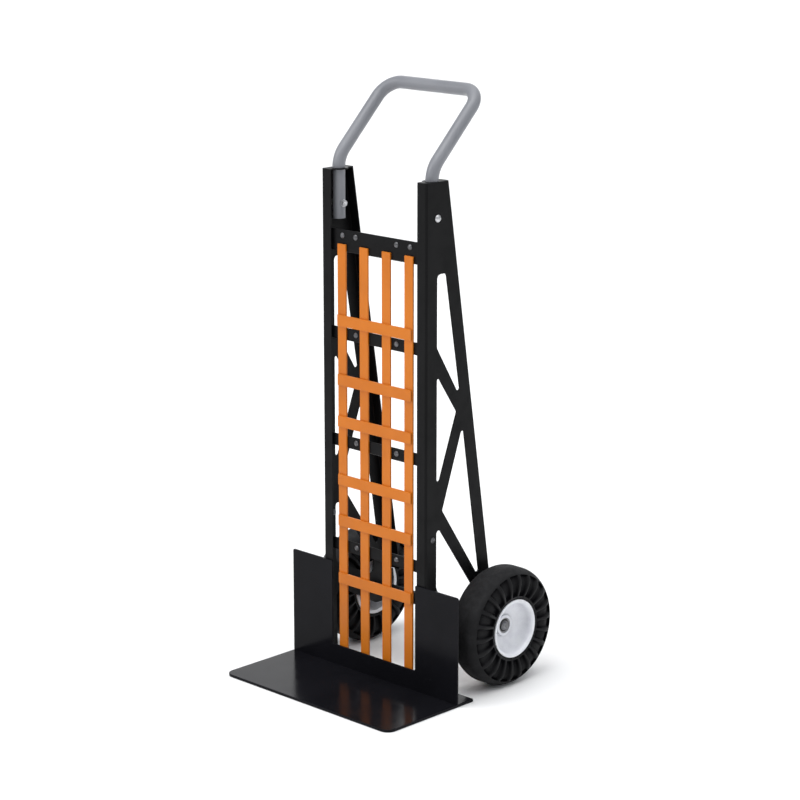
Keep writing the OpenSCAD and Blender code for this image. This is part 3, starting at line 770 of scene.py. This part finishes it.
bolts, nuts, washers, spacers = (bmesh.new() for _ in range(4))
nut_x = LEG_X - TUBE_R - 1.5
for side, s in SIDES:
    bolt(bolts, at(s * FACE_X, LEG_Y, HANDLE_BOLT_Z, (s, 0, 0)), 17, 5.5, FACE_X - nut_x + 5, 10)
    nut(nuts, at(s * (nut_x - HANDLE_NUT_H), LEG_Y, HANDLE_BOLT_Z, (s, 0, 0), 17 * s), HANDLE_NUT_H)
    collar(washers, at(s * nut_x, LEG_Y, HANDLE_BOLT_Z, (s, 0, 0)), 0, 1.5, 4.2, 8.5)
    collar(spacers, at(s * (LEG_X + TUBE_R), LEG_Y, HANDLE_BOLT_Z, (s, 0, 0)), 0,
           WEB_X - LEG_X - TUBE_R, 4.2, 10, 0.2)
make("handle_screws", bolts, "zinc", replaces=["handle_bolts"], sharp=50)
make("handle_hex_nuts", nuts, "zinc", replaces=["handle_nuts"], sharp=32)
make("handle_rings", washers, "zinc", replaces=["handle_washers"])
make("handle_packers", spacers, "zinc", replaces=["handle_spacers"])

bolts, nuts = bmesh.new(), bmesh.new()
heads = [(x, TOP_BOLT_Z) for x in (-TOP_BOLT_X, -BOLT_X, BOLT_X, TOP_BOLT_X)]
heads += [(x, z + BOLT_UP) for name, z, tall in MEMBERS[1:] for x in (-BOLT_X, BOLT_X)]
for i, (x, h) in enumerate(heads):
    bolt(bolts, at(x, MEMBER_Y, h, (0, -1, 0)), 13, 4, SHEET + 8.5, 7)
    nut(nuts, at(x, MEMBER_Y + SHEET + 6.5, h, (0, -1, 0), i * 23))
make("member_screws", bolts, "bolt_black", replaces=["cross_bolts"], sharp=50)
make("member_hex_nuts", nuts, "bolt_black", replaces=["cross_nuts"], sharp=32)

bolts, nuts = bmesh.new(), bmesh.new()
for side, s in SIDES:
    bolt(bolts, at(s * FACE_X, RAIL_BOLT_Y, RAIL_BOLT_Z, (s, 0, 0)), 13, 3, SHEET + 8.5, 7)
    nut(nuts, at(s * (WEB_X - 6.5), RAIL_BOLT_Y, RAIL_BOLT_Z, (s, 0, 0), 11))
make("rail_screws", bolts, "bolt_black", replaces=["frame_bolts"], sharp=50)
make("rail_hex_nuts", nuts, "bolt_black", replaces=["frame_nuts"], sharp=32)


# Axle parts --------------------------------------------------------------

RACE_W, INNER_RACE_R, OUTER_RACE_R = 11.11, 10.7, 17.46
LAND_R, LAND_W, GROOVE_R = 14.7, 2.83, 15.35      # inside of the outer race and its ball groove
BOSS_OUT, BOSS_IN = 9.8, 38.2
BEARING_OUT = WHEEL_X + BOSS_OUT - 2 - RACE_W
BEARING_IN = WHEEL_X - BOSS_IN + 2

caps, rings, collars, cross = (bmesh.new() for _ in range(4))
for side, s in SIDES:
    centre = at(0, AXLE_Y, AXLE_Z, (s, 0, 0))
    x0 = BEARING_OUT + RACE_W + 1.5
    bore = AXLE_R + 0.03
    flange, cap_r, cap_h = INNER_RACE_R, 9.0, 7.0
    dome = [(r, x + x0 + 2) for r, x in dome_profile(2 * cap_r, cap_h)[1:]]
    hollow = WHEEL_X + BOSS_OUT + 2.55
    profile = [(0, hollow), (bore, hollow), (bore, x0), (flange - 0.3, x0), (flange, x0 + 0.3),
               (flange, x0 + 1.7), (flange - 0.3, x0 + 2)] + dome
    add(caps, revolve(bmesh.new(), profile, 64, closed=False), centre)
    collar(rings, centre, BEARING_OUT + RACE_W, x0, AXLE_R + 0.02, INNER_RACE_R)
    collar(collars, centre, FACE_X, BEARING_IN, AXLE_R + 0.02, INNER_RACE_R, 0.5)
# The caps take the darker zinc, which is painted shade.
make("axle_end_caps", caps, "zinc_painted_shade", replaces=["axle_caps"], sharp=45)
make("axle_rings", rings, "zinc", replaces=["axle_washers"])
make("axle_collars", collars, "axle_steel", replaces=["axle_spacers"])
collar(cross, at(0, AXLE_Y, AXLE_Z), -WEB_X, WEB_X, AXLE_R + 2, AXLE_TUBE_R, 0.3, 72)
make("axle_cross_tube", cross, "frame_black", replaces=["axle_tube"])


# Welds on the frame ------------------------------------------------------

bm = bmesh.new()
for name, z, tall in MEMBERS:
    for s in (-1, 1):
        straight_bead(bm, (s * WEB_X, MEMBER_Y, z + 4), (s * WEB_X, MEMBER_Y, z + tall - 1),
                      (-s, 0, 0), (0, -1, 0), 2.2)
        straight_bead(bm, (s * WEB_X, MEMBER_Y + 4, z), (s * WEB_X, MEMBER_Y + MEMBER_D - 1, z),
                      (-s, 0, 0), (0, 0, -1), 2.2)
for s in (-1, 1):
    round_bead(bm, s * WEB_X, -s, AXLE_TUBE_R)
    for x, out in ((s * FACE_X, s), (s * WEB_X, -s)):
        straight_bead(bm, (x, 7, TOE_T), (x, FOOT_D - 3, TOE_T), (out, 0, 0), (0, 0, 1))
    edge = s * (FACE_X - 1.2)
    for a, b in ((16, 56), (100, 150), (196, 240)):
        straight_bead(bm, (edge, 0, a), (edge, 0, b), (s, 0, 0), (0, 1, 0), 3)
    for a, b in ((168, 200), (222, 252)):
        straight_bead(bm, (s * a, 0, TOE_T), (s * b, 0, TOE_T), (0, 1, 0), (0, 0, 1), 3)
for a, b in ((-120, -80), (-20, 20), (80, 120)):
    straight_bead(bm, (a, 0, TOE_T), (b, 0, TOE_T), (0, 1, 0), (0, 0, 1), 3)
for i in range(4):
    x = (i - 1.5) * STRAP_PITCH
    straight_bead(bm, (x - 9, MEMBER_Y, TOE_T), (x + 9, MEMBER_Y, TOE_T), (0, 1, 0), (0, 0, 1), 2.4)
make("frame_welds", bm, "frame_black", sharp=60, weighted=False)


# Wheels ------------------------------------------------------------------

RIBS = 22
RIB_PHASE = math.radians(1.3)
POCKET_DEPTH = 7.5
RIM_R, BEAD_R, BARREL_R, BOSS_R, RIM_HALF = 66.2, 61.0, 57.5, 24.0, 41.8


def tyre():
    """Solid tyre about +X: both side walls are deep pockets parted by narrow radial ribs."""
    rib = [(0.06, 0), (0.10, 0.04), (0.13, 0.2), (0.17, 0.55), (0.21, 0.85), (0.26, 1), (0.33, 1),
           (0.42, 1)]
    columns = [(-0.5, 1)] + [(-f, m) for f, m in reversed(rib)] + [(0, 0)] + rib
    turns = [(RIB_PHASE + 2 * PI * (k + f) / RIBS, m, f) for k in range(RIBS) for f, m in columns]

    def wall(r):
        if r >= 100:
            return 10.7 + math.sqrt(max(0.0, SHOULDER_R ** 2 - (r - 100) ** 2))
        return HALF_W - 6.6 * ((100 - r) / 33.6) ** 2

    radial = [(66.5, 0), (68.0, 0), (69.0, 0), (70.6, 0), (71.6, 0), (72.6, 0), (73.4, 0.04),
              (74.4, 0.4), (75.4, 0.8), (77.0, 1)]
    radial += [(r, 1) for r in range(80, 118, 5)]
    radial += [(118, 1), (120.0, 0.97), (121.3, 0.6), (122.0, 0.08), (122.6, 0)]
    start = math.asin((123.2 - 100) / SHOULDER_R)
    shoulder = [start + (PI / 2 - start) * i / 11 for i in range(12)]
    half = [(r, wall(r), m) for r, m in radial]
    half += [(100 + SHOULDER_R * math.sin(t), 10.7 + SHOULDER_R * math.cos(t), 0) for t in shoulder]
    half += [(TYRE_R, 7.0, 0), (TYRE_R, 3.0, 0)]
    rows = half + [(TYRE_R, 0.0, 0)] + [(r, -x, m) for r, x, m in reversed(half)]
    seat = [(61.1, 37.6, 0), (61.1, 0, 0), (61.1, -37.6, 0)]
    rows = [(66.3, 37.7, 0)] + rows + [(66.3, -37.7, 0)] + seat[::-1]
    bm = bmesh.new()
    grid = []
    for r, x, m in rows:
        line = []
        for t, c, f in turns:
            out = 1 if x > 0 else -1
            knob = 0.6 if 68.9 < r < 71 and abs(f) < 0.1 and abs(x) > 30 else 0.0
            x_here = x - out * (POCKET_DEPTH * m * c - knob)
            line.append(bm.verts.new((x_here, r * math.cos(t), r * math.sin(t))))
        grid.append(line)
    n = len(turns)
    for a, b in zip(grid, grid[1:] + grid[:1]):
        for i in range(n):
            bm.faces.new((a[i], a[(i + 1) % n], b[(i + 1) % n], b[i]))
    return bm


def rim():
    """Moulded rim about +X, outer side towards +X: filleted dish, barrel, flanges and boss."""
    lip_out, lip_in = BOSS_OUT - 2 - RACE_W, -BOSS_IN + 2 + RACE_W
    seat, lip = OUTER_RACE_R + 0.02, RIM_HALF - 4
    return revolve(bmesh.new(), rounded([
        (seat, BOSS_OUT, 0.5), (seat, lip_out, 0), (LAND_R, lip_out, 0.3), (LAND_R, lip_in, 0.3),
        (seat, lip_in, 0), (seat, -BOSS_IN, 0.5), (BOSS_R, -BOSS_IN, 1.2), (BOSS_R, 0, 5),
        (BARREL_R, 11, 5), (BARREL_R, -RIM_HALF, 1.2), (RIM_R, -RIM_HALF, 1.4), (RIM_R, -lip, 1.0),
        (BEAD_R, -lip, 0.4), (BEAD_R, lip, 0.4), (RIM_R, lip, 1.0), (RIM_R, RIM_HALF, 1.4),
        (BARREL_R, RIM_HALF, 7), (BARREL_R, 16, 14), (BOSS_R, 5, 2.2),
        (BOSS_R, BOSS_OUT, 1.2)], 10), 144)


for side, sign in SIDES:
    body = "wheel_" + side
    spot = mirrored(sign) @ Matrix.Translation((WHEEL_X, AXLE_Y, AXLE_Z))
    make("tyre_ribbed_" + side, tyre(), "tyre_rubber", body, ["tyre_" + side], 50, spot)
    make("rim_dished_" + side, rim(), "rim_white", body, ["rim_" + side], 40, spot)
    races, seals = bmesh.new(), bmesh.new()
    for x0 in (BEARING_OUT - WHEEL_X, BEARING_IN - WHEEL_X):
        groove = [(LAND_R, x0 + RACE_W - LAND_W), (GROOVE_R, x0 + RACE_W / 2),
                  (LAND_R, x0 + LAND_W)]
        section = rounded([(LAND_R, x0, 0.25), (OUTER_RACE_R, x0, 0.5),
                           (OUTER_RACE_R, x0 + RACE_W, 0.5), (LAND_R, x0 + RACE_W, 0.25)], 3)
        add(races, revolve(bmesh.new(), section + groove, 72), Matrix.Identity(4))
        for s0, s1, dip in ((x0 + 0.2, x0 + 1.0, 0.25),
                            (x0 + RACE_W - 1.0, x0 + RACE_W - 0.2, -0.25)):
            seal = [(11.1, s0), (11.9, s0), (12.2, s0 + dip), (13.8, s0 + dip), (14.1, s0),
                    (14.68, s0), (14.68, s1), (14.1, s1), (13.8, s1 + dip), (12.2, s1 + dip),
                    (11.9, s1), (11.1, s1)]
            add(seals, revolve(bmesh.new(), seal, 72), Matrix.Identity(4))
    make("bearing_rings_" + side, races, "bearing_steel", body, ["outer_races_" + side], move=spot)
    make("bearing_seals_" + side, seals, "seal_black", body, ["bearing_shields_" + side], move=spot)


# CAD nodes that keep their own shape -------------------------------------

KEPT = {"axle": "axle_steel", "bearing_spacers": "axle_steel", "inner_races": "bearing_steel",
        "bearing_balls_left": "bearing_steel", "bearing_balls_right": "bearing_steel"}
for node, look in KEPT.items():
    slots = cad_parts[node].material_slots
    for slot in slots:
        slot.material = LOOKS[look]


# Floor, light and camera -------------------------------------------------

bm = bmesh.new()
bmesh.ops.create_grid(bm, x_segments=8, y_segments=8, size=40)
mesh = bpy.data.meshes.new("floor")
bm.to_mesh(mesh)
bm.free()
mesh.materials.append(floor_paint("floor_paint"))
floor = bpy.data.objects.new("floor", mesh)
floor.location.z = -0.0004
bpy.context.scene.collection.objects.link(floor)


def aim(obj, place, target):
    obj.location = place
    obj.rotation_mode = "QUATERNION"
    obj.rotation_quaternion = (Vector(target) - Vector(place)).to_track_quat("-Z", "Y")
    bpy.context.scene.collection.objects.link(obj)


def sun(name, towards, strength, spread, tint=(1, 1, 1)):
    light = bpy.data.lights.new(name, "SUN")
    light.energy, light.angle, light.color = strength, math.radians(spread), tint
    aim(bpy.data.objects.new(name, light), Vector(towards).normalized() * 6, (0, 0, 0))


def soft_box(name, place, target, size, watts):
    light = bpy.data.lights.new(name, "AREA")
    light.shape, light.size, light.size_y = "RECTANGLE", size[0], size[1]
    light.energy = watts
    aim(bpy.data.objects.new(name, light), place, target)


sun("key", (-0.15, -0.75, 1.3), 1.05, 55)
sun("fill", (1.0, 0.3, 1.2), 0.5, 70, (0.97, 0.98, 1.0))
sun("overhead", (0.05, -0.05, 1.0), 1.5, 60)
sun("rear", (-0.5, 1.0, 0.5), 0.7, 60)
soft_box("back_box", (-3.2, 3.2, 1.9), (0, 0, 0), (4.0, 1.8), 9)
soft_box("front_box", (-1.6, -2.6, 2.6), (0, 0, 0.8), (1.6, 1.6), 28)

world = bpy.data.worlds.new("studio")
world.use_nodes = True
nodes, links = world.node_tree.nodes, world.node_tree.links
glow = nodes["Background"]
glow.inputs["Color"].default_value = (0.92, 0.95, 1.0, 1)
glow.inputs["Strength"].default_value = 0.37
backdrop = nodes.new("ShaderNodeBackground")
backdrop.inputs["Color"].default_value = (0.96, 0.965, 0.97, 1)
seen, pick = nodes.new("ShaderNodeLightPath"), nodes.new("ShaderNodeMixShader")
links.new(seen.outputs["Is Camera Ray"], pick.inputs[0])
links.new(glow.outputs[0], pick.inputs[1])
links.new(backdrop.outputs[0], pick.inputs[2])
links.new(pick.outputs[0], nodes["World Output"].inputs["Surface"])
bpy.context.scene.world = world
bpy.context.scene.view_settings.view_transform = "Standard"

LENS, SENSOR = 111.15, 36
TURN, TILT = math.radians(44.212), math.radians(14.0)
EYE = Vector((3.69683, -3.76735, 1.95268))
camera = bpy.data.cameras.new("camera")
camera.lens, camera.sensor_width = LENS, SENSOR
view = bpy.data.objects.new("camera", camera)
back = Vector((math.sin(TURN) * math.cos(TILT), -math.cos(TURN) * math.cos(TILT), math.sin(TILT)))
aim(view, EYE, EYE - back)
camera.clip_end = 100
bpy.context.scene.camera = view
